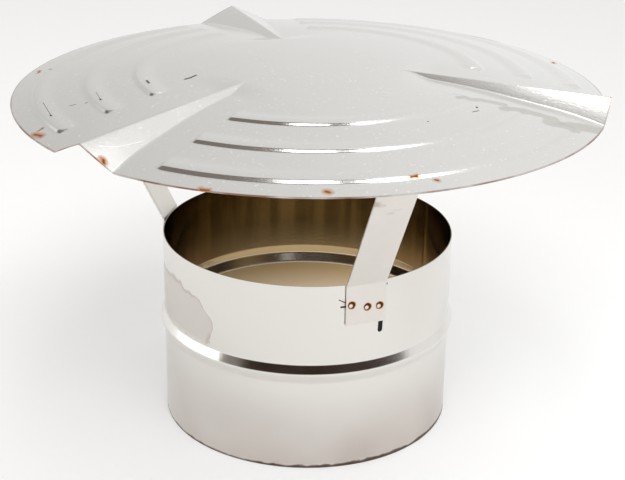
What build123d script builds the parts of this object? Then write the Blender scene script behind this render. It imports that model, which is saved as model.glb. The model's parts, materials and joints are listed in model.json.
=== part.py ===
from build123d import *
import os
from math import asin, atan2, cos, degrees, hypot, sqrt

# A chimney cowl of thin stainless sheet: a flue collar, three straps and a pressed rain cap.
# Sizes are in millimetres. The origin is the centre of the collar's bottom edge, +Z is up,
# and -Y is the front.

# Collar: a rolled tube with one stop bead
BORE_DIAMETER = 150.0
COLLAR_SHEET = 0.5
COLLAR_HEIGHT = 100.0
BEAD_MIDDLE = 53.0            # height of the bead's crown above the bottom edge
BEAD_WIDTH = 9.7
BEAD_RISE = 2.1               # to the corner of the crown, before it is rounded
BEAD_CROWN_RADIUS = 2.0

# Cap: a round blank pressed into a dish, with radial pleats and raised ribs
CAP_SHEET = 0.5
CAP_LIFT = 90.6               # from the collar's top edge to the crown of the dish
CAP_REACH = 149.3             # straight line from the crown to the cut edge of the sheet
DISH_RADIUS = 663.0
PLEAT_COUNT = 3
FIRST_RIDGE_AZIMUTH = 90.0
RIDGE_START = 46.0            # distance from the axis where a ridge leaves the dish
RIDGE_RISE = 9.0              # height of a ridge above the dish at the cut edge
PLEAT_HALF_WIDTH = 19.3       # from the ridge to a valley, at the cut edge
RIDGE_FOLD_RADIUS = 2.0
INNER_RIB_RADIUS = 86.0       # from the axis to the middle of the inner rib's crest
RIB_PITCH = 25.0
RIB_HALF_ARC_ANGLES = (42.2, 44.5, 45.5)  # degrees each side of the sector's middle, inner rib first
RIB_CREST = 1.0               # flat top of a rib
RIB_RISE = 1.0
RIB_INNER_RUN = 5.5           # width of the gentle side, towards the axis
RIB_OUTER_RUN = 2.2           # width of the steep side, also at the ends
RIB_END_CORNER = 0.4          # share of the root where a rib's end starts to turn

# Straps: flat strips from the collar's outside to the cap's underside
FRONT_STRAP_AZIMUTH = 274.0
LEFT_STRAP_AZIMUTH = 148.0
RIGHT_STRAP_AZIMUTH = 30.0
STRAP_SHEET = 1.0
STRAP_WIDTH = 21.0
STRAP_BEND_RADIUS = 3.0       # on the face towards the collar and the cap
FOOT_LENGTH = 21.0
TAB_LENGTH = 27.0
TAB_INSET = 3.5               # from the tab's end to the cap's cut edge
TAB_CLEARANCE = 0.05          # between the tab's corners and the cap
WELD_DIAMETER = 4.6           # dents left in the foot by the spot welds
WELD_DEPTH = 0.25
WELD_PITCH = 7.4
WELD_COUNT = 3
WELD_DROP = 11.0              # from the collar's top edge to the row of dents

# Worked out from the sizes above
bore_radius = BORE_DIAMETER / 2
collar_radius = bore_radius + COLLAR_SHEET
crown_height = COLLAR_HEIGHT + CAP_LIFT
dish_centre = crown_height - DISH_RADIUS
edge_height = crown_height - CAP_REACH**2 / (2 * DISH_RADIUS)
edge_radius = sqrt(CAP_REACH**2 - (crown_height - edge_height)**2)
sector = 360 / PLEAT_COUNT


def dish_height(distance):
    """Height of the dish's outer face at a distance from the axis."""
    return dish_centre + sqrt(DISH_RADIUS**2 - distance**2)


def arc_radius(chord, rise):
    """Radius of the circle that stands this high on this chord."""
    return (chord**2 / 4 + rise**2) / (2 * rise)


def sheet_section(corners, bends, thickness):
    """Closed section of a sheet: its face line with bends of these radii, thickened to its right."""
    face_line = FilletPolyline(*corners, radius=bends)
    outline = offset(face_line, thickness, kind=Kind.INTERSECTION, side=Side.RIGHT)
    return Plane.XZ * make_face(outline.edges())


def make_collar():
    """The tube: its wall section, with the bead pressed outwards from the bore, turned about the axis."""
    corners = [
        (bore_radius, 0),
        (bore_radius, BEAD_MIDDLE - BEAD_WIDTH / 2),
        (bore_radius + BEAD_RISE, BEAD_MIDDLE),
        (bore_radius, BEAD_MIDDLE + BEAD_WIDTH / 2),
        (bore_radius, COLLAR_HEIGHT),
    ]
    bends = [0, BEAD_CROWN_RADIUS, 0]
    return revolve(sheet_section(corners, bends, COLLAR_SHEET), Axis.Z)


def make_pleat():
    """A roof whose ridge leaves the dish as a straight line and whose flanks run down into it."""
    leaving = Vector(RIDGE_START, 0, dish_height(RIDGE_START))
    tip = Vector(edge_radius, 0, edge_height + RIDGE_RISE)
    along = (tip - leaving).normalized()
    deepest = leaving - along * (leaving - Vector(0, 0, dish_centre)).dot(along)
    ridge_frame = Plane(origin=deepest, x_dir=(0, 1, 0), z_dir=along)
    flank = atan2(RIDGE_RISE, PLEAT_HALF_WIDTH)
    corner = RIDGE_FOLD_RADIUS * (1 / cos(flank) - 1)
    half_width = 2 * PLEAT_HALF_WIDTH
    depth = 2 * RIDGE_RISE
    outline = Polyline((-half_width, corner - depth), (0, corner), (half_width, corner - depth), close=True)
    roof = make_face(outline)
    ridge_corner = roof.vertices().sort_by(Axis.Y)[-1]
    rounded_roof = ridge_frame * fillet(ridge_corner, RIDGE_FOLD_RADIUS)
    return extrude(rounded_roof, (tip - deepest).length + RIDGE_RISE, dir=along)


def make_rib(distance, half_arc):
    """A raised arc: a bar with a gentle and a steep side bent round the axis, and a tapered boss at each end."""
    inner_root = RIB_CREST / 2 + 2 * RIB_INNER_RUN
    outer_root = RIB_CREST / 2 + 2 * RIB_OUTER_RUN
    root = [(-inner_root, -RIB_RISE), (outer_root, -RIB_RISE)]
    crest = [(RIB_CREST / 2, RIB_RISE), (-RIB_CREST / 2, RIB_RISE)]
    bar = Plane.XZ * make_face(Polyline(*root, *crest, close=True))

    shrink = RIB_CREST / (inner_root + outer_root)
    side = RIB_END_CORNER * outer_root
    boss_root = [(outer_root, 0), (outer_root, side), (side, outer_root)]
    boss_root += [(-RIB_END_CORNER * inner_root, outer_root), (-inner_root, side), (-inner_root, 0)]
    boss_crest = [(shrink * (x + inner_root) - RIB_CREST / 2, shrink * y) for x, y in boss_root]
    root_face = Pos(0, 0, -RIB_RISE) * make_face(Polyline(*boss_root, close=True))
    crest_face = Pos(0, 0, RIB_RISE) * make_face(Polyline(*boss_crest, close=True))
    boss = loft([root_face, crest_face], ruled=True)

    seat = Pos(distance, 0, dish_height(distance)) * Rot(0, degrees(asin(distance / DISH_RADIUS)), 0)
    rib = Rot(0, 0, -half_arc) * revolve(seat * bar, Axis.Z, 2 * half_arc)
    rib += Rot(0, 0, half_arc) * seat * boss
    rib += Rot(0, 0, -half_arc) * seat * mirror(boss, Plane.XZ)
    return rib


def make_cap():
    """The pressed form as a solid, cut round at the sheet's edge and emptied to the sheet's thickness."""
    stock_depth = 3 * (crown_height - edge_height)
    stock = Pos(0, 0, crown_height) * Cylinder(CAP_REACH + 2 * RIDGE_RISE, 2 * stock_depth)
    dish = Pos(0, 0, dish_centre) * Rot(90, 0, 0) * Sphere(DISH_RADIUS)  # its poles lie off the sheet
    form = stock & dish
    for number in range(PLEAT_COUNT):
        ridge_turn = Rot(0, 0, FIRST_RIDGE_AZIMUTH + number * sector)
        form += ridge_turn * make_pleat()
        sector_turn = ridge_turn * Rot(0, 0, sector / 2)
        for row, half_arc in enumerate(RIB_HALF_ARC_ANGLES):
            form += sector_turn * make_rib(INNER_RIB_RADIUS + row * RIB_PITCH, half_arc)
    blank = form & Pos(0, 0, crown_height) * Sphere(CAP_REACH)
    return blank - Pos(0, 0, -CAP_SHEET) * form


def make_strap(azimuth):
    """A strip bent at the collar's edge and under the cap, with a row of weld dents in its foot."""
    tab_end = edge_radius - TAB_INSET
    tab_start = tab_end - TAB_LENGTH

    def seat_height(distance):
        corner_distance = hypot(distance, STRAP_WIDTH / 2)
        return dish_height(corner_distance) - CAP_SHEET - TAB_CLEARANCE

    corners = [
        (collar_radius, COLLAR_HEIGHT - FOOT_LENGTH),
        (collar_radius, COLLAR_HEIGHT),
        (tab_start, seat_height(tab_start)),
        (tab_end, seat_height(tab_end)),
    ]
    section = sheet_section(corners, STRAP_BEND_RADIUS, STRAP_SHEET)
    strap = extrude(section, STRAP_WIDTH / 2, both=True)
    dent_radius = arc_radius(WELD_DIAMETER, WELD_DEPTH)
    foot_face = collar_radius + STRAP_SHEET
    for number in range(WELD_COUNT):
        across = (number - (WELD_COUNT - 1) / 2) * WELD_PITCH
        middle = (foot_face + dent_radius - WELD_DEPTH, across, COLLAR_HEIGHT - WELD_DROP)
        strap -= Pos(*middle) * Sphere(dent_radius)
    return Rot(0, 0, azimuth) * strap


pieces = {
    "collar": make_collar(),
    "strap_front": make_strap(FRONT_STRAP_AZIMUTH),
    "strap_left": make_strap(LEFT_STRAP_AZIMUTH),
    "strap_right": make_strap(RIGHT_STRAP_AZIMUTH),
    "cap": make_cap(),
}

os.makedirs("parts", exist_ok=True)
for name, piece in pieces.items():
    export_step(piece, f"parts/{name}.step")
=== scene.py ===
import json
import bpy
import numpy as np
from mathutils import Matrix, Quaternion, Vector


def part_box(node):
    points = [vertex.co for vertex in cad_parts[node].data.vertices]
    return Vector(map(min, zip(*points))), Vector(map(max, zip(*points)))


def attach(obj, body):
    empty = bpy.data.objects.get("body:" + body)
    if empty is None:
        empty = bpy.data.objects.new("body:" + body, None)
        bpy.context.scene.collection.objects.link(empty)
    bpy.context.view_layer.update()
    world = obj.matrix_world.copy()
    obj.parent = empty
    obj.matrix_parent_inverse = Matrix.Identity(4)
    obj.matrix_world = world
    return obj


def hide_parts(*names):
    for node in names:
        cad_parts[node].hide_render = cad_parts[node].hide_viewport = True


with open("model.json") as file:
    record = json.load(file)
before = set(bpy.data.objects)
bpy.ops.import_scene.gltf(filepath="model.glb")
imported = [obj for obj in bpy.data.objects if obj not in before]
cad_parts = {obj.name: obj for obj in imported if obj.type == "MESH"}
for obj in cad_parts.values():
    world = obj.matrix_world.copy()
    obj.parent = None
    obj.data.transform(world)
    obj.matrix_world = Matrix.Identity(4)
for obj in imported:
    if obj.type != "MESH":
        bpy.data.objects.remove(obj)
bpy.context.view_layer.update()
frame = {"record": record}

# Collar
# The tube that goes on the flue pipe, rolled from half-millimetre stainless strip and welded
# along its length on the right. A bead rolled out of the wall stops it in the pipe's socket.
MM = 0.001
mounts = {mount["name"]: mount["dims"] for mount in frame["record"]["mounts"] if mount["dims"]}
bore_radius = mounts["flue_bore"]["r_mm"]
wall_radius = mounts["flue_spigot"]["r_mm"]
collar_sheet = wall_radius - bore_radius
collar_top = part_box("collar")[1].z / MM
bead_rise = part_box("collar")[1].x / MM - wall_radius
BEAD_MIDDLE = 53.0
BEAD_FLANK_ANGLE = np.radians(23.4)
BEAD_CROWN_RADIUS = 2.0
BEAD_FOOT_RADIUS = 2.2
BEAD_REACH = 7.0              # from the bead's middle to where the wall is plain again
BEAD_ROWS = 61
ROWS_BELOW = 24
ROWS_ABOVE = 28
WALL_WAVE = 0.10              # how far the thin wall sways in from a true cylinder
WALL_STEP = 1.25              # degrees from one column of the wall to the next
SEAM_AZIMUTH = 12.0
SEAM_WIDTH = 2.6
SEAM_RISE = 0.12
SEAM_HALF_SPAN = 2.0          # degrees each side of the seam that have finer columns
SEAM_COLUMNS = 25
SEAM_CLEARANCE = 2.2          # degrees from the seam to the nearest even column
SHARP_ANGLE = np.radians(50)
STRAP_AZIMUTHS = {"strap_front": 274.0, "strap_left": 148.0, "strap_right": 30.0}
WELD_PLACES = {               # millimetres across the strap, and down from the collar's top edge
    "strap_front": ((-7.7, 10.1), (0.7, 12.2), (7.1, 12.4)),
    "strap_left": ((-6.9, 11.6), (0.3, 10.8), (7.6, 11.9)),
    "strap_right": ((-7.4, 11.0), (-0.5, 12.3), (6.8, 10.5)),
}


def bead_height(distance):
    """Rise of the bead at a distance from its middle: a round crown, a straight flank, a hollow foot.

    The flank is the line that touches the crown's circle and the foot's circle.
    """
    slope = np.tan(BEAD_FLANK_ANGLE)
    corner = bead_rise + BEAD_CROWN_RADIUS * (1 / np.cos(BEAD_FLANK_ANGLE) - 1)
    reach = corner / slope
    foot_run = BEAD_FOOT_RADIUS * np.tan(BEAD_FLANK_ANGLE / 2)
    crown_drop = np.sqrt(np.maximum(BEAD_CROWN_RADIUS**2 - distance**2, 0))
    crown = bead_rise - BEAD_CROWN_RADIUS + crown_drop
    foot_inset = np.clip(reach + foot_run - distance, 0, BEAD_FOOT_RADIUS)
    foot = BEAD_FOOT_RADIUS - np.sqrt(BEAD_FOOT_RADIUS**2 - foot_inset**2)
    in_crown = distance < BEAD_CROWN_RADIUS * np.sin(BEAD_FLANK_ANGLE)
    in_foot = distance > reach - foot_run * np.cos(BEAD_FLANK_ANGLE)
    return np.where(in_crown, crown, np.where(in_foot, foot, corner - slope * distance))


def offset_line(first, second, thickness):
    """A line in a plane moved to its right by a thickness, along the normal at each point."""
    run, climb = np.gradient(first), np.gradient(second)
    length = np.hypot(run, climb)
    return first + thickness * climb / length, second - thickness * run / length


def sway(azimuth, height):
    """A slow waviness from 0 to 1 of a wall that was rolled from thin sheet.

    It is one half and half the mean of three sines, with 5, 8 and 13 waves round the wall. Two of
    them are twisted with the height.
    """
    turn = np.radians(azimuth)
    waves = np.sin(5 * turn + height / 31) + np.sin(8 * turn - height / 19 + 2) + np.sin(13 * turn + 4)
    return 0.5 + waves / 6


def grid_faces(rows, columns, closed_rows=False, closed_columns=False):
    """Quads between neighbours of a grid that was numbered row by row, closed on itself if asked."""
    numbers = np.arange(rows * columns).reshape(rows, columns)
    if closed_rows:
        numbers = np.vstack([numbers, numbers[:1]])
    if closed_columns:
        numbers = np.hstack([numbers, numbers[:, :1]])
    corners = [numbers[:-1, :-1], numbers[:-1, 1:], numbers[1:, 1:], numbers[1:, :-1]]
    return np.stack(corners, axis=-1).reshape(-1, 4).tolist()


def sheet_piece(name, points, faces):
    """A mesh object at the origin from points in millimetres, smooth but for its cut edges."""
    mesh = bpy.data.meshes.new(name)
    mesh.from_pydata((points.reshape(-1, 3) * MM).tolist(), [], faces)
    mesh.shade_smooth()
    mesh.set_sharp_from_angle(angle=SHARP_ANGLE)
    piece = bpy.data.objects.new(name, mesh)
    bpy.context.scene.collection.objects.link(piece)
    return piece


def ring_point(radius, azimuth, height, across=0.0):
    """Points at distances from the axis in the directions of azimuths, moved sideways, at heights."""
    turn = np.radians(azimuth)
    out_x, out_y = np.cos(turn), np.sin(turn)
    return np.stack([radius * out_x - across * out_y, radius * out_y + across * out_x, height], axis=-1)


bead_bottom, bead_top = BEAD_MIDDLE - BEAD_REACH, BEAD_MIDDLE + BEAD_REACH
wall_heights = np.concatenate([
    np.linspace(0, bead_bottom, ROWS_BELOW, endpoint=False),
    np.linspace(bead_bottom, bead_top, BEAD_ROWS),
    np.linspace(bead_top, collar_top, ROWS_ABOVE)[1:],
])
inner_radii = bore_radius + bead_height(np.abs(wall_heights - BEAD_MIDDLE))
outer_radii, outer_heights = offset_line(inner_radii, wall_heights, collar_sheet)
loop_radii = np.concatenate([inner_radii, outer_radii[::-1]])
loop_heights = np.concatenate([wall_heights, outer_heights[::-1]])
seam_azimuths = SEAM_AZIMUTH + np.linspace(-SEAM_HALF_SPAN, SEAM_HALF_SPAN, SEAM_COLUMNS)
even_azimuths = np.arange(0, 360, WALL_STEP)
clear_of_seam = np.abs(even_azimuths - SEAM_AZIMUTH) > SEAM_CLEARANCE
collar_azimuths = np.sort(np.concatenate([even_azimuths[clear_of_seam], seam_azimuths]))
azimuth_grid, radius_grid = np.meshgrid(collar_azimuths, loop_radii)
height_grid = np.repeat(loop_heights[:, None], len(collar_azimuths), axis=1)
from_seam = np.radians(azimuth_grid - SEAM_AZIMUTH) * wall_radius
seam_swell = SEAM_RISE * np.exp(-(2 * from_seam / SEAM_WIDTH) ** 2)
radius_grid = radius_grid - WALL_WAVE * sway(azimuth_grid, height_grid)
outside = np.arange(len(loop_radii))[:, None] >= len(inner_radii)
radius_grid = radius_grid + np.where(outside, seam_swell, -seam_swell)
radius_grid = np.minimum(radius_grid, wall_radius + bead_rise)
collar_points = ring_point(radius_grid, azimuth_grid, height_grid)
collar_faces = grid_faces(len(loop_radii), len(collar_azimuths), closed_rows=True, closed_columns=True)
collar = sheet_piece("collar_tube", collar_points, collar_faces)
bore_side = np.repeat(~outside, len(collar_azimuths), axis=1)
store = collar.data.attributes.new("bore_side", "FLOAT", "POINT")
store.data.foreach_set("value", bore_side.ravel().astype(np.float32))


def linear(hex_colour):
    """A shader colour from an sRGB hex value, by the sRGB curve."""
    channels = np.array([int(hex_colour[i:i + 2], 16) for i in (1, 3, 5)]) / 255
    low, high = channels / 12.92, ((channels + 0.055) / 1.055) ** 2.4
    return (*np.where(channels <= 0.04045, low, high).tolist(), 1.0)


def add(tree, kind, inputs, **settings):
    """Adds a node of a kind with its settings; an input is linked where it is given a socket."""
    node = tree.nodes.new("ShaderNode" + kind)
    for name, value in settings.items():
        setattr(node, name, value)
    for key, value in inputs.items():
        if isinstance(value, bpy.types.NodeSocket):
            tree.links.new(value, node.inputs[key])
        else:
            node.inputs[key].default_value = value
    return node


def nearest_stroke(tree, place, strokes):
    """Distance to the nearest of some straight strokes with round ends, in half widths of that stroke.

    The nearest point of a stroke is its start moved towards its end by the clamped share of the way.
    """
    nearest = 1000.0
    for start, end, half_width in strokes:
        line = end - start
        away = add(tree, "VectorMath", {0: place, 1: start}, operation="SUBTRACT").outputs[0]
        share = add(tree, "VectorMath", {0: away, 1: line / max(line @ line, 1e-6)}, operation="DOT_PRODUCT")
        share = add(tree, "Math", {0: share.outputs["Value"], 1: 1.0}, operation="MULTIPLY", use_clamp=True)
        along = add(tree, "VectorMath", {0: line, "Scale": share.outputs[0]}, operation="SCALE").outputs[0]
        gap = add(tree, "VectorMath", {0: away, 1: along}, operation="DISTANCE").outputs["Value"]
        widths_away = add(tree, "Math", {0: gap, 1: half_width}, operation="DIVIDE").outputs[0]
        nearest = add(tree, "Math", {0: widths_away, 1: nearest}, operation="MINIMUM").outputs[0]
    return nearest


# Places of the sockets of a Mix node that mixes colours, and of a Map Range node
FACTOR, COLOUR_A, COLOUR_B, MIXED = 0, 6, 7, 2
START, END, LOW, HIGH = 1, 2, 3, 4

# Bright rolled stainless: a mirror softened by the rolls' fine grain, so that it shows wide blurred
# reflections.
# Water has dried to a grey film on the left. The bore side is painted straw to brown in streaks, a painted
# reflection of a tan table and painted shade in the tube, and the spigot is painted darker towards the
# bottom as painted shade.
# A ragged dark brown band runs along the bottom edge, and that band and the marker are dull.
CLOUD_SIZE = 45.0             # sizes of patterns are in millimetres
RAGGED_SIZE = 5.0
REFLECTION_STREAK_WIDTH = 7.0
GRAIN_SIZE = 1.4
REFLECTION_STREAK_SQUASH = (1.0, 1.0, 0.06)  # draws a pattern out along the axis
REFLECTION_STREAK_FADE = (74.0, 56.0)    # heights between which the painted reflection streaks run into an even painted tan
PAINTED_LOW_SHADE_FADE = (44.0, 4.0)    # heights between which the painted shade towards the bottom grows
DARK_EDGE_DIRECTION = (0.5, -0.85, 0.0)  # towards the front right, where the dark band at the bottom edge is deepest
WELD_HEAT_REACH = (5.0, 1.5)  # distances from a weld where its heat starts and is full
FILM_EDGE = 1.14              # half widths from the film's middle line to its full tone
WELD_SPOTS = [ring_point(wall_radius, STRAP_AZIMUTHS[strap], collar_top - drop, across)
              for strap, welds in WELD_PLACES.items() for across, drop in welds]
MARKER_STROKES = [            # start and end as azimuth and height, and half the width
    ((280.6, 80.0), (280.4, 73.6), 1.3),
    ((264.6, 88.7), (266.4, 88.6), 0.45),
    ((263.8, 92.6), (266.2, 90.8), 0.25),
    ((282.6, 97.6), (282.6, 97.6), 0.6),
]
WATER_FILM = [                # azimuth and height of the film's middle lines, and half its width
    ((172.0, 64.0), (190.0, 66.0), 20.5),
    ((190.0, 66.0), (200.0, 67.0), 17.0),
    ((204.0, 76.0), (209.0, 70.0), 6.5),
]
marker_lines, film_lines = [
    [(ring_point(wall_radius, *start), ring_point(wall_radius, *end), half) for start, end, half in strokes]
    for strokes in (MARKER_STROKES, WATER_FILM)]
bright_stainless = bpy.data.materials.new("bright_rolled_stainless_collar")
bright_stainless.use_nodes = True
tree = bright_stainless.node_tree
shader = tree.nodes["Principled BSDF"]
place = add(tree, "VectorMath", {
    0: add(tree, "TexCoord", {}).outputs["Object"], "Scale": 1 / MM}, operation="SCALE").outputs[0]
height = add(tree, "SeparateXYZ", {0: place}).outputs["Z"]
in_bore = add(tree, "Attribute", {}, attribute_name="bore_side").outputs["Fac"]
on_outside = add(tree, "Math", {0: 1.0, 1: in_bore}, operation="SUBTRACT").outputs[0]
clouds = add(tree, "TexNoise", {"Vector": place, "Scale": 1 / CLOUD_SIZE, "Detail": 3.0}).outputs["Fac"]
ragged = add(tree, "TexNoise", {"Vector": place, "Scale": 1 / RAGGED_SIZE, "Detail": 3.0}).outputs["Fac"]
weld_gap = nearest_stroke(tree, place, [(spot, spot, 1.0) for spot in WELD_SPOTS])
weld_heat = add(tree, "MapRange", {
    "Value": weld_gap, START: WELD_HEAT_REACH[0], END: WELD_HEAT_REACH[1], LOW: 0.0, HIGH: 0.6},
    interpolation_type="SMOOTHSTEP").outputs[0]

film_gap = nearest_stroke(tree, place, film_lines)
film_gap = add(tree, "Math", {0: ragged, 1: 0.35, 2: film_gap}, operation="MULTIPLY_ADD").outputs[0]
film = add(tree, "MapRange", {
    "Value": film_gap, START: FILM_EDGE + 0.06, END: FILM_EDGE, LOW: 0.0, HIGH: 0.75}).outputs[0]
above_bead = add(tree, "MapRange", {
    "Value": height, START: BEAD_MIDDLE + 5, END: BEAD_MIDDLE + 8}).outputs[0]
film_place = add(tree, "Math", {0: above_bead, 1: on_outside}, operation="MULTIPLY").outputs[0]
film = add(tree, "Math", {0: film, 1: film_place}, operation="MULTIPLY").outputs[0]
film_edge = add(tree, "MapRange", {"Value": film_gap, START: FILM_EDGE - 0.10, END: FILM_EDGE}).outputs[0]
film_edge = add(tree, "Math", {0: film, 1: film_edge}, operation="MULTIPLY").outputs[0]

# Painted reflection and shade inside the tube: dark brown streaks drawn out along the axis above, an even
# painted tan below, and the lower half of the bead left plain steel.
reflection_streak_place = add(tree, "VectorMath", {0: place, 1: REFLECTION_STREAK_SQUASH}, operation="MULTIPLY").outputs[0]
painted_reflection_streaks = add(tree, "TexNoise", {
    "Vector": reflection_streak_place, "Scale": 1 / REFLECTION_STREAK_WIDTH, "Detail": 3.0}).outputs["Fac"]
painted_reflection_streaks = add(tree, "MapRange", {"Value": painted_reflection_streaks, START: 0.42, END: 0.60}).outputs[0]
painted_bore_shade = add(tree, "Mix", {
    FACTOR: painted_reflection_streaks, COLOUR_A: linear("#6c5b38"), COLOUR_B: linear("#88744b")},
    data_type="RGBA").outputs[MIXED]
below_reflection_streaks = add(tree, "MapRange", {
    "Value": height, START: REFLECTION_STREAK_FADE[0], END: REFLECTION_STREAK_FADE[1]}).outputs[0]
painted_bore_shade = add(tree, "Mix", {
    FACTOR: below_reflection_streaks, COLOUR_A: painted_bore_shade, COLOUR_B: linear("#9c8560")},
    data_type="RGBA").outputs[MIXED]
below_bead = add(tree, "MapRange", {
    "Value": height, START: BEAD_MIDDLE + 0.5, END: BEAD_MIDDLE - 0.5}).outputs[0]
above_foot = add(tree, "MapRange", {
    "Value": height, START: BEAD_MIDDLE - 6, END: BEAD_MIDDLE - 5}).outputs[0]
flank_without_painted_shade = add(tree, "Math", {0: below_bead, 1: above_foot}, operation="MULTIPLY").outputs[0]
painted_bore_shade_share = add(tree, "Math", {0: in_bore, 1: flank_without_painted_shade}, operation="SUBTRACT", use_clamp=True).outputs[0]

# Painted shade: the collar is painted darker and warmer towards the bottom, a painted reflection of the
# table shaded near its foot.
painted_low_shade = add(tree, "MapRange", {
    "Value": height, START: PAINTED_LOW_SHADE_FADE[0], END: PAINTED_LOW_SHADE_FADE[1], LOW: 0.0, HIGH: 1.5}).outputs[0]
painted_low_shade = add(tree, "Math", {0: painted_low_shade, 1: clouds}, operation="MULTIPLY").outputs[0]
# A ragged dark brown band along the bottom edge, deepest at the front right.
front_right = add(tree, "VectorMath", {
    0: place, 1: DARK_EDGE_DIRECTION}, operation="DOT_PRODUCT").outputs["Value"]
dark_edge_depth = add(tree, "MapRange", {
    "Value": front_right, START: 0.2 * wall_radius, END: 0.9 * wall_radius,
    LOW: -1.8, HIGH: -3.2}).outputs[0]
low_edge = add(tree, "Math", {0: ragged, 1: dark_edge_depth, 2: height}, operation="MULTIPLY_ADD").outputs[0]
dark_bottom_edge = add(tree, "MapRange", {"Value": low_edge, START: 0.4, END: -0.4, LOW: 0.0, HIGH: 0.9}).outputs[0]
marker_gap = nearest_stroke(tree, place, marker_lines)
marker = add(tree, "MapRange", {"Value": marker_gap, START: 1.08, END: 0.92, HIGH: on_outside}).outputs[0]

colour = add(tree, "Mix", {
    FACTOR: clouds, COLOUR_A: linear("#dad7d2"), COLOUR_B: linear("#e3e1dc")},
    data_type="RGBA").outputs[MIXED]
for share, tone in (
    (weld_heat, linear("#a97c4f")),
    (film, linear("#cdc7c1")),
    (film_edge, linear("#b9b0a6")),
    (painted_bore_shade_share, painted_bore_shade),
    (painted_low_shade, linear("#c3b9b2")),
    (dark_bottom_edge, linear("#47301d")),
    (marker, linear("#171412")),
):
    colour = add(tree, "Mix", {
        FACTOR: share, COLOUR_A: colour, COLOUR_B: tone}, data_type="RGBA").outputs[MIXED]
grain = add(tree, "TexNoise", {"Vector": place, "Scale": 1 / GRAIN_SIZE, "Detail": 2.0}).outputs["Fac"]
rough = add(tree, "MapRange", {"Value": clouds, START: 0.3, END: 0.7, LOW: 0.13, HIGH: 0.20}).outputs[0]
covered = add(tree, "Math", {0: marker, 1: dark_bottom_edge}, operation="MAXIMUM").outputs[0]
dull = add(tree, "Math", {0: film, 1: covered}, operation="MAXIMUM").outputs[0]
rough = add(tree, "Math", {0: dull, 1: 0.3, 2: rough}, operation="MULTIPLY_ADD").outputs[0]
bare = add(tree, "Math", {0: 1.0, 1: covered}, operation="SUBTRACT").outputs[0]
bump = add(tree, "Bump", {"Height": grain, "Strength": 0.04, "Distance": 0.5 * MM}).outputs[0]
tree.links.new(colour, shader.inputs["Base Color"])
tree.links.new(bare, shader.inputs["Metallic"])
tree.links.new(rough, shader.inputs["Roughness"])
tree.links.new(bump, shader.inputs["Normal"])
shader.inputs["Specular IOR Level"].default_value = 0.2
collar.data.materials.append(bright_stainless)
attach(collar, "root")
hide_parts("collar")

# Straps
# Three flat strips of one-millimetre stainless, bent at the collar's edge and again under the
# cap. Three spot welds hold each foot to the collar, and others, out of sight, the tab to the cap.
STRAP_SHEET = 1.0
STRAP_WIDTH = 21.0
STRAP_BEND_RADIUS = 3.0
STRAP_EDGE_RADIUS = 0.2
STRAP_STEP = 0.6              # from one row of points to the next
FACE_COLUMNS = 36
CORNER_COLUMNS = 4
FOOT_LENGTH = 21.0
TAB_LENGTH = 27.0
TAB_INSET = 3.5
TAB_CLEARANCE = 0.05
WELD_RADIUS = 2.3
WELD_DEPTH = 0.25
WELD_RING_RISE = 0.08
WELD_RING_PLACE = 1.1         # in weld radii from the dent's middle
WELD_RING_WIDTH = 0.25
CAP_SHEET = 0.5
CAP_REACH = 149.3             # straight line from the crown to the cut edge of the sheet
DISH_RADIUS = 663.0
crown_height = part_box("cap")[1].z / MM
dish_centre = crown_height - DISH_RADIUS
edge_height = crown_height - CAP_REACH**2 / (2 * DISH_RADIUS)
edge_radius = np.sqrt(CAP_REACH**2 - (crown_height - edge_height) ** 2)


def dish_height(distance):
    """Height of the cap's plain dish at a distance from the axis: a sphere's."""
    return dish_centre + np.sqrt(DISH_RADIUS**2 - distance**2)


def strap_line(step):
    """The strap's face towards the collar and the cap, as arc length, distance from the axis and height.

    Its direction is constant along each run and turns evenly along each bend, and the points
    are the running sum of short steps in that direction.
    """
    tab_end = edge_radius - TAB_INSET
    tab_start = tab_end - TAB_LENGTH
    seat = dish_height(np.hypot([tab_start, tab_end], STRAP_WIDTH / 2)) - CAP_SHEET - TAB_CLEARANCE
    lean = np.array([tab_start - wall_radius, seat[0] - collar_top])
    tab = np.array([tab_end - tab_start, seat[1] - seat[0]])
    directions = np.array([np.pi / 2, np.arctan2(lean[1], lean[0]), np.arctan2(tab[1], tab[0])])
    turns = -np.diff(directions)
    cut = STRAP_BEND_RADIUS * np.tan(turns / 2)
    bends = STRAP_BEND_RADIUS * turns
    runs = [FOOT_LENGTH - cut[0], np.hypot(*lean) - cut.sum(), np.hypot(*tab) - cut[1]]
    marks = np.cumsum([0, runs[0], bends[0], runs[1], bends[1], runs[2]])
    along = np.linspace(0, marks[-1], int(marks[-1] / step))
    middles = (along[1:] + along[:-1]) / 2
    heading = np.interp(middles, marks, np.repeat(directions, 2))
    steps = np.diff(along)
    distance = wall_radius + np.concatenate([[0], np.cumsum(steps * np.cos(heading))])
    height = collar_top - FOOT_LENGTH + np.concatenate([[0], np.cumsum(steps * np.sin(heading))])
    return along, distance, height


def strip_outline(face_count, corner_count):
    """Closed outline of the strip as widths and depths: two faces and two sides with round corners."""
    half = STRAP_WIDTH / 2 - STRAP_EDGE_RADIUS
    near, far = STRAP_EDGE_RADIUS, STRAP_SHEET - STRAP_EDGE_RADIUS
    quarter = np.linspace(0, np.pi / 2, corner_count)
    face = np.linspace(-half, half, face_count)
    round_out, round_up = STRAP_EDGE_RADIUS * np.sin(quarter), STRAP_EDGE_RADIUS * np.cos(quarter)
    widths = np.concatenate([face[1:-1], half + round_out, half + round_up,
                             face[::-1][1:-1], -half - round_out, -half - round_up])
    depths = np.concatenate([np.full(face_count - 2, STRAP_SHEET), far + round_up, near - round_out,
                             np.zeros(face_count - 2), near - round_up, far + round_out])
    return widths, depths


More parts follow.
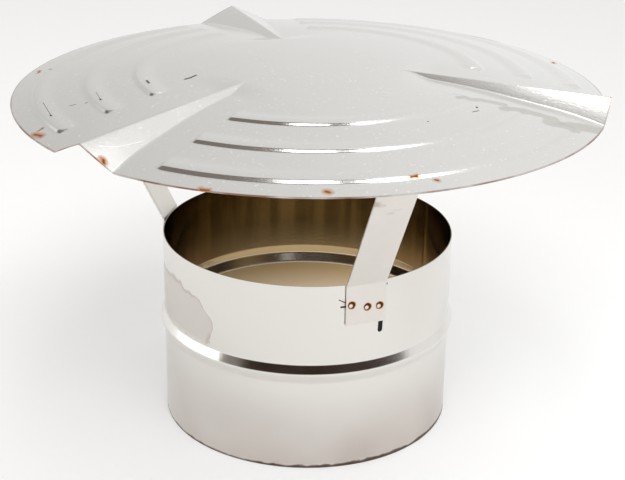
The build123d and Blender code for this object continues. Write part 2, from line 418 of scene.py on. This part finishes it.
along, face_distance, face_height = strap_line(STRAP_STEP)
outer_distance, outer_height = offset_line(face_distance, face_height, STRAP_SHEET)
widths, depths = strip_outline(FACE_COLUMNS, CORNER_COLUMNS)
strap_rows, strap_columns = len(along), len(widths)
numbers = np.arange(strap_rows * strap_columns)
strap_ends = [numbers[:strap_columns].tolist(), numbers[-strap_columns:][::-1].tolist()]
strap_faces = grid_faces(strap_rows, strap_columns, closed_columns=True) + strap_ends
across = np.repeat(widths[None, :], strap_rows, axis=0)
straps = []
for strap, azimuth in STRAP_AZIMUTHS.items():
    share = np.repeat(depths[None, :] / STRAP_SHEET, strap_rows, axis=0)
    for weld_across, drop in WELD_PLACES[strap]:
        from_weld = np.hypot(across - weld_across, along[:, None] - (FOOT_LENGTH - drop)) / WELD_RADIUS
        dent = -WELD_DEPTH * np.clip(1 - from_weld**2, 0, 1)
        ring = WELD_RING_RISE * np.exp(-((from_weld - WELD_RING_PLACE) / WELD_RING_WIDTH) ** 2)
        share = share + np.where(share > 0.99, dent + ring, 0) / STRAP_SHEET  # only on the outer face
    distance = face_distance[:, None] + share * (outer_distance - face_distance)[:, None]
    height = face_height[:, None] + share * (outer_height - face_height)[:, None]
    strap_points = ring_point(distance, azimuth, height, across)
    piece = sheet_piece(strap.replace("strap", "strip"), strap_points, strap_faces)
    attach(piece, "root")
    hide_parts(strap)
    straps.append(piece)

# Satin stainless strip: duller and greyer than the rolled sheet. Each weld dent has a dark brown wall of
# oxide inside an orange ring of heat, cut by a painted highlight low on its left to a crescent of painted
# shade at the upper right. Brown patches grow towards the top, under the cap.
CLOUD_SIZE = 14.0
BROWN_PATCH_SIZE = 11.0
BROWN_PATCH_SQUASH = (1.0, 1.0, 2.2)  # flattens a pattern along the axis
BROWN_PATCH_FADE = (110.0, 160.0)   # heights between which the brown patches gain on the plain metal
RAGGED_SIZE = 1.5
# Painted highlight: a bright spot in each weld dent, moved down and to one side of its middle.
HIGHLIGHT_SHIFT = np.array([-0.35, 0.0, -0.45])
WELD_DENTS = [ring_point(wall_radius + STRAP_SHEET, STRAP_AZIMUTHS[strap], collar_top - drop, across)
              for strap, welds in WELD_PLACES.items() for across, drop in welds]
WELD_HIGHLIGHTS = [dent + HIGHLIGHT_SHIFT for dent in WELD_DENTS]
satin_stainless = bpy.data.materials.new("satin_stainless_strip")
satin_stainless.use_nodes = True
tree = satin_stainless.node_tree
shader = tree.nodes["Principled BSDF"]
place = add(tree, "VectorMath", {
    0: add(tree, "TexCoord", {}).outputs["Object"], "Scale": 1 / MM}, operation="SCALE").outputs[0]
height = add(tree, "SeparateXYZ", {0: place}).outputs["Z"]
clouds = add(tree, "TexNoise", {"Vector": place, "Scale": 1 / CLOUD_SIZE, "Detail": 4.0}).outputs["Fac"]
# Brown patches that grow towards the top, under the cap.
brown_patch_place = add(tree, "VectorMath", {0: place, 1: BROWN_PATCH_SQUASH}, operation="MULTIPLY").outputs[0]
brown_patches = add(tree, "TexNoise", {
    "Vector": brown_patch_place, "Scale": 1 / BROWN_PATCH_SIZE, "Detail": 5.0}).outputs["Fac"]
under_cap = add(tree, "MapRange", {
    "Value": height, START: BROWN_PATCH_FADE[0], END: BROWN_PATCH_FADE[1], LOW: -0.35, HIGH: 0.15}).outputs[0]
brown_patches = add(tree, "Math", {0: brown_patches, 1: under_cap}, operation="ADD").outputs[0]
brown_patched = add(tree, "MapRange", {"Value": brown_patches, START: 0.64, END: 0.76, LOW: 0.0, HIGH: 0.55}).outputs[0]
ragged = add(tree, "TexNoise", {"Vector": place, "Scale": 1 / RAGGED_SIZE, "Detail": 2.0}).outputs["Fac"]
weld_gap = nearest_stroke(tree, place, [(dent, dent, 1.0) for dent in WELD_DENTS])
weld_gap = add(tree, "Math", {0: ragged, 1: 0.5, 2: weld_gap}, operation="MULTIPLY_ADD").outputs[0]
highlight_gap = nearest_stroke(tree, place, [(painted_highlight, painted_highlight, 1.0) for painted_highlight in WELD_HIGHLIGHTS])
# An orange heat ring; a dark brown oxide wall, which is painted shade where the painted highlight leaves it;
# and the painted highlight.
ring, oxide_and_shade_wall, painted_highlight = [
    add(tree, "MapRange", {"Value": gap, START: start, END: end}, interpolation_type="SMOOTHSTEP").outputs[0]
    for gap, start, end in ((weld_gap, 2.60, 2.25), (weld_gap, 2.20, 1.95), (highlight_gap, 1.25, 0.75))]
colour = add(tree, "Mix", {
    FACTOR: clouds, COLOUR_A: linear("#d8d3cc"), COLOUR_B: linear("#e4e0da")},
    data_type="RGBA").outputs[MIXED]
for share, tone in ((brown_patched, "#a08a78"), (ring, "#c47a3e"), (oxide_and_shade_wall, "#4c301d"), (painted_highlight, "#e2dbd0")):
    colour = add(tree, "Mix", {
        FACTOR: share, COLOUR_A: colour, COLOUR_B: linear(tone)}, data_type="RGBA").outputs[MIXED]
rough = add(tree, "MapRange", {"Value": clouds, START: 0.3, END: 0.7, LOW: 0.285, HIGH: 0.36}).outputs[0]
tree.links.new(colour, shader.inputs["Base Color"])
tree.links.new(rough, shader.inputs["Roughness"])
shader.inputs["Metallic"].default_value = 1.0
for piece in straps:
    piece.data.materials.append(satin_stainless)

# Cap
# The rain cap: a round blank of half-millimetre stainless, pressed into a shallow dish with three
# radial pleats that stiffen it and take up the slack, and three rows of raised arcs between them.
PLEAT_COUNT = 3
FIRST_RIDGE_AZIMUTH = 90.0
RIDGE_START = 46.0
RIDGE_RISE = 9.0
PLEAT_HALF_WIDTH = 19.3
RIDGE_FOLD_RADIUS = 2.0
START_STEEPNESS = 1.12        # how much steeper a flank is where the ridge starts than at the cut edge
FLANK_BULGE = 0.08            # how much a flank's slope grows from its middle to the valley
VALLEY_DIP = 1.6              # how far the pleat pulls the dish down beside it
VALLEY_BLEND = 0.35           # height over which a flank runs into the dish
VALLEY_START_RUN = 16.0       # length over which a valley starts
VALLEY_END_RUN = 45.0         # length over which it ends at the cut edge
INNER_RIB_RADIUS = 86.0
RIB_PITCH = 25.0
RIB_HALF_ARC_ANGLES = (42.2, 44.5, 45.5)
RIB_CREST = 1.0
RIB_RISE = 1.0
RIB_INNER_RUN = 9.5
RIB_OUTER_RUN = 2.2
DISH_WAVE = 0.12              # how far the thin dish sways from a true sphere
EDGE_WEAR = 0.05              # how far the cut edge is worn back
RIDGE_MARKS = (-20, -13, -9, -1.2, 1.2, 9, 13, 20)  # degrees from a ridge, between which columns are even
RIDGE_COLUMNS = (14, 6, 26, 22, 26, 6, 14)
PLAIN_COLUMNS = 50            # in the rest of a sector
CROWN_RING = 1.5              # radius of the first ring round the crown
NEAR_RIDGE_START = (-4, 14)   # distances from a ridge's start between which rows are close
RIDGE_START_ROWS = (14, 9, 8)  # before that stretch, on it, and up to the first rib
RIB_ROWS = (6, 9, 7)          # on the gentle side, on the crest and steep side, and up to the next rib
EDGE_ROWS = 6
RIM_ROUNDS = 4
sector = 360 / PLEAT_COUNT


def smooth_step(value):
    """Goes from 0 to 1 with level ends, by the cubic 3t^2 - 2t^3."""
    t = np.clip(value, 0, 1)
    return t * t * (3 - 2 * t)


def from_ridge(azimuth):
    """Signed angle in degrees to the nearest ridge."""
    return (azimuth - FIRST_RIDGE_AZIMUTH + sector / 2) % sector - sector / 2


def pleat_place(radius, azimuth):
    """Distance from the axis along the nearest ridge, and distance from that ridge to the side."""
    angle = np.radians(from_ridge(azimuth))
    return radius * np.cos(angle), np.abs(radius * np.sin(angle))


def valley_dip(radius, azimuth):
    """Depth of the hollows along both sides of a pleat: a bell across it, fading out at both its ends."""
    out, across = pleat_place(radius, azimuth)
    starting = smooth_step((out - RIDGE_START) / VALLEY_START_RUN)
    ending = smooth_step((edge_radius - out) / VALLEY_END_RUN)
    return VALLEY_DIP * starting * ending * np.exp(-(across / PLEAT_HALF_WIDTH) ** 2)


def pleat_height(radius, azimuth):
    """Height of the roof over the nearest ridge: a straight ridge line, round on top.

    The flanks fall by a parabola, bulging a little, and lean less and less on their way to the cut edge.
    """
    out, across = pleat_place(radius, azimuth)
    start_height, tip_height = dish_height(RIDGE_START), edge_height + RIDGE_RISE
    share = (out - RIDGE_START) / (edge_radius - RIDGE_START)
    ridge = start_height + (tip_height - start_height) * share
    steepness = START_STEEPNESS + (1 - START_STEEPNESS) * np.clip(share, 0, 1)
    slope = steepness * RIDGE_RISE / PLEAT_HALF_WIDTH
    flank = np.arctan(slope * (1 - FLANK_BULGE))
    fold = RIDGE_FOLD_RADIUS - np.sqrt(np.maximum(RIDGE_FOLD_RADIUS**2 - across**2, 0))
    fall = slope * across * (1 + FLANK_BULGE * (across / PLEAT_HALF_WIDTH - 1))
    fall = fall - RIDGE_FOLD_RADIUS * (1 / np.cos(flank) - 1)
    return ridge - np.where(across < RIDGE_FOLD_RADIUS * np.sin(flank), fold, fall)


def rib_height(radius, azimuth):
    """Rise of the raised arcs: level on the crest, then falling gently inwards and steeply outwards.

    Each fall is a smooth step of the distance from the crest, in widths of that side.
    """
    from_middle = np.abs((azimuth - FIRST_RIDGE_AZIMUTH) % sector - sector / 2)
    rise = np.zeros_like(radius)
    for row, half_arc in enumerate(RIB_HALF_ARC_ANGLES):
        arc = INNER_RIB_RADIUS + row * RIB_PITCH
        past_end = np.radians(np.maximum(from_middle - half_arc, 0)) * arc / RIB_OUTER_RUN
        outwards = (radius - arc - RIB_CREST / 2) / RIB_OUTER_RUN
        inwards = (arc - RIB_CREST / 2 - radius) / RIB_INNER_RUN
        beside = np.maximum(np.maximum(outwards, inwards), 0)
        rise = rise + RIB_RISE * smooth_step(1 - np.hypot(beside, past_end))
    return rise


def cap_height(radius, azimuth):
    """Height of the cap's top face: the dish with its ribs, and the roofs of the pleats rising through it.

    The dish sways by three crossed sines about 110 to 180 mm long. Where a flank meets the dish, the
    larger height is raised by a parabola, so the valley is round.
    """
    turn = np.radians(azimuth)
    sway_x, sway_y = radius * np.cos(turn), radius * np.sin(turn)
    waves = np.sin(sway_x / 17 + 1) * np.sin(sway_y / 23) + np.sin((sway_x + sway_y) / 29 + 2)
    dish = dish_height(radius) + rib_height(radius, azimuth) - DISH_WAVE * (0.5 + waves / 4)
    dish = dish - valley_dip(radius, azimuth)
    roof = pleat_height(radius, azimuth)
    blend = VALLEY_BLEND * smooth_step((radius - RIDGE_START) / RIDGE_START) + 1e-6
    overlap = np.maximum(blend - np.abs(dish - roof), 0)
    return np.where(radius < RIDGE_START, dish, np.maximum(dish, roof) + overlap**2 / (4 * blend))


def spread(marks, counts):
    """Values that divide each stretch between two marks evenly, by its own count."""
    stretches = [np.linspace(a, b, n, endpoint=False) for a, b, n in zip(marks[:-1], marks[1:], counts)]
    return np.concatenate([*stretches, marks[-1:]])


near_ridge = spread(RIDGE_MARKS, RIDGE_COLUMNS)
mid_sector = np.linspace(RIDGE_MARKS[-1], sector + RIDGE_MARKS[0], PLAIN_COLUMNS, endpoint=False)[1:]
sector_azimuths = np.concatenate([near_ridge, mid_sector])
turns = FIRST_RIDGE_AZIMUTH + sector * np.arange(PLEAT_COUNT)
cap_azimuths = (turns[:, None] + sector_azimuths[None, :]).ravel()
rib_count = len(RIB_HALF_ARC_ANGLES)
rib_radii = INNER_RIB_RADIUS + RIB_PITCH * np.arange(rib_count)
rib_inside, rib_outside = RIB_CREST / 2 + RIB_INNER_RUN, RIB_CREST / 2 + RIB_OUTER_RUN
rib_marks = np.stack([rib_radii - rib_inside, rib_radii - RIB_CREST / 2, rib_radii + rib_outside], axis=1)
start_marks = [CROWN_RING, RIDGE_START + NEAR_RIDGE_START[0], RIDGE_START + NEAR_RIDGE_START[1]]
radius_marks = np.concatenate([start_marks, rib_marks.ravel(), [edge_radius]])
row_counts = [*RIDGE_START_ROWS, *(RIB_ROWS * rib_count)[:-1], EDGE_ROWS]
cap_radii = spread(radius_marks, row_counts)
rim_radii = np.full_like(cap_azimuths, edge_radius)
for _ in range(RIM_ROUNDS):       # the rim's height and its distance from the axis settle each other
    drop = crown_height - cap_height(rim_radii, cap_azimuths)
    rim_radii = np.sqrt((CAP_REACH - EDGE_WEAR) ** 2 - drop**2)
radius_grid = cap_radii[:, None] * rim_radii[None, :] / edge_radius
azimuth_grid = np.repeat(cap_azimuths[None, :], len(cap_radii), axis=0)
top_grid = np.minimum(cap_height(radius_grid, azimuth_grid), crown_height)
sheet_drop = np.array([0, 0, CAP_SHEET])
top_face = ring_point(radius_grid, azimuth_grid, top_grid)
under_face = top_face - sheet_drop
crown_point = np.array([0, 0, cap_height(np.zeros(1), np.zeros(1))[0]])
cap_points = np.vstack([
    top_face.reshape(-1, 3), under_face[::-1].reshape(-1, 3), crown_point, crown_point - sheet_drop])
columns = len(cap_azimuths)
rows = 2 * len(cap_radii)
first_row = np.arange(columns)
last_row = first_row + (rows - 1) * columns
top_fan = np.stack([np.full(columns, rows * columns), np.roll(first_row, -1), first_row], axis=1)
under_fan = np.stack([np.full(columns, rows * columns + 1), last_row, np.roll(last_row, -1)], axis=1)
cap_faces = grid_faces(rows, columns, closed_columns=True) + top_fan.tolist() + under_fan.tolist()
cap = sheet_piece("rain_cap", cap_points, cap_faces)

# Bright rolled stainless again, with dust specks. Rust has bled from the tabs' welds and from the
# cut edge, which is brown all round, water has dried in scallops beside the right pleat, and there is
# a bright scratch on the left pleat. Dark lines and dots on the left, along and beside the ribs, and small
# dents at the front right are painted reflections of dark parts of the room.
CLOUD_SIZE = 50.0
DUST_SIZE = 1.6
DRIFT_SIZE = 4.0
DRIFT = (3.0, 3.0, 3.0)       # how far the outlines of stains wander
PATCH_SIZE = 18.0
GRAIN_SIZE = 1.4
EDGE_BROWN = (0.9, 0.2)       # distances from the cut edge where its brown starts and is full
RUST_SPOTS = [                # start and end as distance from the axis and azimuth, and half the width
    ((137.2, 270.2), (137.0, 271.6), 0.8),
    ((140.4, 274.2), (141.2, 274.6), 0.9),
    ((143.6, 254.8), (144.4, 255.4), 1.2),
    ((147.4, 234.2), (147.4, 235.4), 1.0),
    ((145.8, 192.6), (144.6, 194.0), 1.6),
    ((143.0, 191.6), (140.6, 191.0), 0.6),
    ((143.4, 151.2), (142.6, 153.0), 0.8),
    ((137.0, 152.6), (135.2, 153.4), 0.5),
    ((146.6, 214.6), (147.2, 215.2), 1.3),
    ((142.6, 4.6), (144.6, 5.6), 1.0),
    ((147.6, 36.0), (147.6, 26.0), 0.7),
]
# Painted reflections: dark lines and dots where the ribs and small dents mirror dark parts of the room.
DARK_REFLECTION_MARKS = [
    ((65.6, 184.8), (62.8, 184.4), 0.75),
    ((62.8, 184.4), (59.4, 182.6), 0.6),
    ((83.2, 179.9), (83.2, 183.0), 0.6),
    ((108.2, 180.2), (109.0, 186.8), 0.12),
    ((109.0, 186.2), (109.0, 187.0), 0.5),
    ((133.2, 178.1), (133.5, 187.1), 0.14),
    ((133.5, 186.8), (133.6, 187.4), 0.5),
    ((122.6, 183.8), (119.8, 184.0), 0.3),
    ((115.4, 184.9), (114.8, 184.9), 0.4),
    ((94.4, 308.0), (95.0, 307.6), 0.5),
    ((96.5, 303.8), (97.4, 306.0), 0.3),
    ((93.4, 287.1), (93.4, 287.1), 0.4),
]
SCRATCHES = [
    ((141.8, 212.0), (137.8, 213.1), 0.20),
    ((137.8, 213.1), (133.6, 213.8), 0.20),
    ((133.6, 213.8), (122.7, 214.8), 0.12),
]
WATER_SCALLOPS = [
    ((84.0, 309.5), (92.0, 315.0), 2.2),
    ((92.0, 315.0), (102.0, 316.4), 2.4),
    ((106.0, 313.6), (112.0, 316.0), 4.2),
    ((112.0, 316.4), (126.0, 317.4), 3.0),
    ((128.0, 315.0), (136.0, 315.6), 5.5),
    ((136.0, 317.4), (147.0, 319.4), 4.6),
]


def cap_strokes(strokes):
    """Strokes on the cap's top face, from distances from the axis and azimuths."""
    ends = np.array([[start, end] for start, end, _ in strokes])
    points = ring_point(ends[..., 0], ends[..., 1], cap_height(ends[..., 0], ends[..., 1]))
    return list(zip(points[:, 0], points[:, 1], [half for _, _, half in strokes]))


bright_cap = bpy.data.materials.new("bright_rolled_stainless_cap")
bright_cap.use_nodes = True
tree = bright_cap.node_tree
shader = tree.nodes["Principled BSDF"]
place = add(tree, "VectorMath", {
    0: add(tree, "TexCoord", {}).outputs["Object"], "Scale": 1 / MM}, operation="SCALE").outputs[0]
clouds = add(tree, "TexNoise", {"Vector": place, "Scale": 1 / CLOUD_SIZE, "Detail": 3.0}).outputs["Fac"]
dust = add(tree, "TexNoise", {"Vector": place, "Scale": 1 / DUST_SIZE, "Detail": 1.0}).outputs["Fac"]
dust = add(tree, "MapRange", {"Value": dust, START: 0.66, END: 0.74, LOW: 0.0, HIGH: 0.5}).outputs[0]
drift = add(tree, "TexNoise", {"Vector": place, "Scale": 1 / DRIFT_SIZE, "Detail": 3.0}).outputs["Color"]
drift = add(tree, "VectorMath", {0: drift, 1: (0.5, 0.5, 0.5)}, operation="SUBTRACT").outputs[0]
ragged = add(tree, "VectorMath", {0: drift, 1: DRIFT, 2: place}, operation="MULTIPLY_ADD").outputs[0]
water_gap = nearest_stroke(tree, ragged, cap_strokes(WATER_SCALLOPS))
water = add(tree, "MapRange", {"Value": water_gap, START: 1.1, END: 0.9, LOW: 0.0, HIGH: 0.55}).outputs[0]

crown_place = (0.0, 0.0, crown_height)
from_crown = add(tree, "VectorMath", {0: place, 1: crown_place}, operation="DISTANCE").outputs["Value"]
edge_brown = add(tree, "MapRange", {
    "Value": from_crown, START: CAP_REACH - EDGE_BROWN[0], END: CAP_REACH - EDGE_BROWN[1]}).outputs[0]
patchy = add(tree, "TexNoise", {"Vector": place, "Scale": 1 / PATCH_SIZE, "Detail": 3.0}).outputs["Fac"]
patchy = add(tree, "MapRange", {"Value": patchy, START: 0.35, END: 0.60, LOW: 0.25, HIGH: 0.9}).outputs[0]
cut_edge = add(tree, "Math", {0: edge_brown, 1: patchy}, operation="MULTIPLY").outputs[0]
rust_gap = nearest_stroke(tree, ragged, cap_strokes(RUST_SPOTS))
# Distance to the painted dark reflections.
dark_reflection_gap = nearest_stroke(tree, place, cap_strokes(DARK_REFLECTION_MARKS))
scratch_gap = nearest_stroke(tree, place, cap_strokes(SCRATCHES))
bleed, rust, core, painted_dark_reflection, scratch = [
    add(tree, "MapRange", {"Value": gap, START: start, END: end, LOW: 0.0, HIGH: most}).outputs[0]
    for gap, start, end, most in (
        (rust_gap, 2.2, 0.9, 0.7), (rust_gap, 0.95, 0.5, 1.0), (rust_gap, 0.45, 0.25, 1.0),
        (dark_reflection_gap, 1.6, 0.6, 1.0), (scratch_gap, 1.8, 0.8, 0.6))]

colour = add(tree, "Mix", {
    FACTOR: clouds, COLOUR_A: linear("#d9d8d5"), COLOUR_B: linear("#e1e0dd")},
    data_type="RGBA").outputs[MIXED]
for share, tone in (
    (dust, "#f6f6f3"),
    (water, "#bdb9b2"),
    (cut_edge, "#7a4d33"),
    (bleed, "#c08a52"),
    (rust, "#a85c1e"),
    (core, "#4a240a"),
    (painted_dark_reflection, "#37312c"),
    (scratch, "#ffffff"),
):
    colour = add(tree, "Mix", {
        FACTOR: share, COLOUR_A: colour, COLOUR_B: linear(tone)}, data_type="RGBA").outputs[MIXED]
grain = add(tree, "TexNoise", {"Vector": place, "Scale": 1 / GRAIN_SIZE, "Detail": 2.0}).outputs["Fac"]
rough = add(tree, "MapRange", {"Value": clouds, START: 0.3, END: 0.7, LOW: 0.12, HIGH: 0.19}).outputs[0]
dull = add(tree, "Math", {0: bleed, 1: painted_dark_reflection}, operation="MAXIMUM").outputs[0]
dull = add(tree, "Math", {0: dull, 1: water}, operation="MAXIMUM").outputs[0]
rough = add(tree, "Math", {0: dull, 1: 0.35, 2: rough}, operation="MULTIPLY_ADD").outputs[0]
covered = add(tree, "Math", {0: rust, 1: painted_dark_reflection}, operation="MAXIMUM").outputs[0]
bare = add(tree, "Math", {0: 1.0, 1: covered}, operation="SUBTRACT").outputs[0]
bump = add(tree, "Bump", {"Height": grain, "Strength": 0.04, "Distance": 0.5 * MM}).outputs[0]
tree.links.new(colour, shader.inputs["Base Color"])
tree.links.new(bare, shader.inputs["Metallic"])
tree.links.new(rough, shader.inputs["Roughness"])
tree.links.new(bump, shader.inputs["Normal"])
cap.data.materials.append(bright_cap)
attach(cap, "root")
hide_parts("cap")

# Camera
# A long lens in front of the cowl, a little to its left and well above the collar.
CAMERA_PLACE = (-221.3, -674.4, 390.6)
CAMERA_HEADING = np.radians(71.62)
CAMERA_PITCH = np.radians(22.77)
CAMERA_ROLL = np.radians(0.92)
FOCAL_PIXELS = 1462.9
IMAGE_WIDTH = 625
SENSOR_WIDTH = 36.0
camera_data = bpy.data.cameras.new("camera")
camera_data.sensor_width = SENSOR_WIDTH
camera_data.lens = SENSOR_WIDTH * FOCAL_PIXELS / IMAGE_WIDTH
camera = bpy.data.objects.new("camera", camera_data)
bpy.context.scene.collection.objects.link(camera)
above = Vector((0.0, 0.0, 1.0))
ahead = Vector((np.cos(CAMERA_HEADING), np.sin(CAMERA_HEADING), 0.0))
right = Vector((np.sin(CAMERA_HEADING), -np.cos(CAMERA_HEADING), 0.0))
forward = ahead * np.cos(CAMERA_PITCH) - above * np.sin(CAMERA_PITCH)
camera.rotation_mode = "QUATERNION"
camera.rotation_quaternion = forward.to_track_quat("-Z", "Y") @ Quaternion((0, 0, 1), CAMERA_ROLL)
camera.location = Vector(CAMERA_PLACE) * MM
bpy.context.scene.camera = camera

# Floor, room and lamps
# A pale table in a bright room, with a window and a dim ceiling on the left and a dark band behind the
# camera. Soft lamps stand all round, and a small downlight shines on the table inside the collar.
FLOOR_REACH = 1.0
FLOOR_DROP = 0.2              # a hair under the collar, so that the two don't touch
FLOOR_GLOW = 0.42             # makes the table white for the camera and in the metal, but lights nothing
floor_mesh = bpy.data.meshes.new("floor")
floor_corners = [(x * FLOOR_REACH, y * FLOOR_REACH, 0) for x, y in ((-1, -1), (1, -1), (1, 1), (-1, 1))]
floor_mesh.from_pydata(floor_corners, [], [(0, 1, 2, 3)])
floor = bpy.data.objects.new("floor", floor_mesh)
floor.location.z = -FLOOR_DROP * MM
bpy.context.scene.collection.objects.link(floor)
pale_table = bpy.data.materials.new("pale_table")
pale_table.use_nodes = True
tree = pale_table.node_tree
shader = tree.nodes["Principled BSDF"]
path = add(tree, "LightPath", {}).outputs
seen = add(tree, "Math", {0: path["Is Camera Ray"], 1: path["Is Glossy Ray"]}, operation="ADD").outputs[0]
seen = add(tree, "Math", {0: seen, 1: path["Is Transmission Ray"]}, operation="ADD", use_clamp=True)
shown = add(tree, "Mix", {FACTOR: seen.outputs[0], COLOUR_A: linear("#e6e3de"), COLOUR_B: linear("#c8c8c8")},
            data_type="RGBA").outputs[MIXED]
glow = add(tree, "Math", {0: seen.outputs[0], 1: FLOOR_GLOW}, operation="MULTIPLY").outputs[0]
tree.links.new(shown, shader.inputs["Base Color"])
tree.links.new(glow, shader.inputs["Emission Strength"])
shader.inputs["Emission Color"].default_value = linear("#ffffff")
shader.inputs["Roughness"].default_value = 0.9
shader.inputs["Specular IOR Level"].default_value = 0.0
floor_mesh.materials.append(pale_table)

# The room's walls as the metal mirrors them: light grey on the left, white on the right, and three
# parts painted over them by direction. The camera itself sees white.
WALL_FADE = (-0.36, 0.22)     # shares of the way to the right between which the walls turn white
BAND_HEIGHT = 0.36            # share of the way up to the dark band's middle
BAND_FADE = (0.29, 0.19)      # shares from that middle where the band starts and is full
ROOM_PARTS = {                # to the right, away from the camera and up; start, full; colour
    "window": ((-0.94, 0.10, 0.33), 0.75, 0.88, "#ffffff"),
    "ceiling": ((-0.50, -0.25, 0.83), 0.57, 0.73, "#857d77"),
    "dark_band": ((0.27, -0.96, 0.00), 0.34, 0.50, "#2c1509"),
}
room = bpy.data.worlds.new("bright_room")
bpy.context.scene.world = room
room.use_nodes = True
tree = room.node_tree
background = tree.nodes["Background"]
direction = add(tree, "TexCoord", {}).outputs["Generated"]
sideways = add(tree, "VectorMath", {0: direction, 1: right}, operation="DOT_PRODUCT").outputs["Value"]
upwards = add(tree, "VectorMath", {0: direction, 1: above}, operation="DOT_PRODUCT").outputs["Value"]
from_band = add(tree, "Math", {0: upwards, 1: BAND_HEIGHT}, operation="SUBTRACT").outputs[0]
from_band = add(tree, "Math", {0: from_band}, operation="ABSOLUTE").outputs[0]
band = add(tree, "MapRange", {"Value": from_band, START: BAND_FADE[0], END: BAND_FADE[1]}).outputs[0]
whiter = add(tree, "MapRange", {"Value": sideways, START: WALL_FADE[0], END: WALL_FADE[1]}).outputs[0]
room_light = add(tree, "Mix", {
    FACTOR: whiter, COLOUR_A: linear("#dddbd9"), COLOUR_B: linear("#ffffff")},
    data_type="RGBA").outputs[MIXED]
for name, ((to_right, away, up), start, full, colour) in ROOM_PARTS.items():
    middle = to_right * right + away * ahead + up * above
    facing = add(tree, "VectorMath", {0: direction, 1: middle}, operation="DOT_PRODUCT").outputs["Value"]
    most = band if name == "dark_band" else 1.0
    share = add(tree, "MapRange", {"Value": facing, START: start, END: full, HIGH: most},
                interpolation_type="SMOOTHSTEP").outputs[0]
    room_light = add(tree, "Mix", {FACTOR: share, COLOUR_A: room_light, COLOUR_B: linear(colour)},
                     data_type="RGBA").outputs[MIXED]
seen = add(tree, "LightPath", {}).outputs["Is Camera Ray"]
shown = add(tree, "Mix", {
    FACTOR: seen, COLOUR_A: room_light, COLOUR_B: linear("#ffffff")}, data_type="RGBA").outputs[MIXED]
tree.links.new(shown, background.inputs["Color"])

AIM_HEIGHT = 0.1              # metres up the axis, where the lamps point
DOWNLIGHT_SPREAD = np.radians(50)
LAMPS = {                     # metres to the right, away from the camera and up; width, depth; watts
    "lamp_overhead": ((0.00, -0.28, 1.45), 0.28, 0.45, 2.0),
    "lamp_right": ((0.52, -0.20, 1.40), 0.45, 0.40, 2.6),
    "lamp_back": ((0.74, 1.64, 3.62), 0.32, 0.38, 1.4),
    "lamp_bore": ((-0.02, 0.03, 0.172), 0.03, 0.03, 0.045),
    "lamp_front": ((0.10, -1.00, 1.35), 0.80, 0.50, 12.0),
    "lamp_left": ((-1.30, 0.10, 0.35), 1.40, 0.60, 4.0),
}
for name, ((to_right, away, up), width, depth, power) in LAMPS.items():
    lamp_data = bpy.data.lights.new(name, "AREA")
    lamp_data.shape = "RECTANGLE"
    lamp_data.size, lamp_data.size_y = width, depth
    lamp_data.energy = power
    lamp = bpy.data.objects.new(name, lamp_data)
    lamp.location = to_right * right + away * ahead + up * above
    lamp.visible_camera = False
    target = AIM_HEIGHT * above
    if name == "lamp_bore":   # the downlight for the table inside the collar, not seen in the metal
        lamp_data.spread = DOWNLIGHT_SPREAD
        lamp.visible_glossy = False
        target = lamp.location - up * above
    lamp.rotation_mode = "QUATERNION"
    lamp.rotation_quaternion = (target - lamp.location).to_track_quat("-Z", "Y")
    bpy.context.scene.collection.objects.link(lamp)
bpy.context.scene.view_settings.view_transform = "Standard"
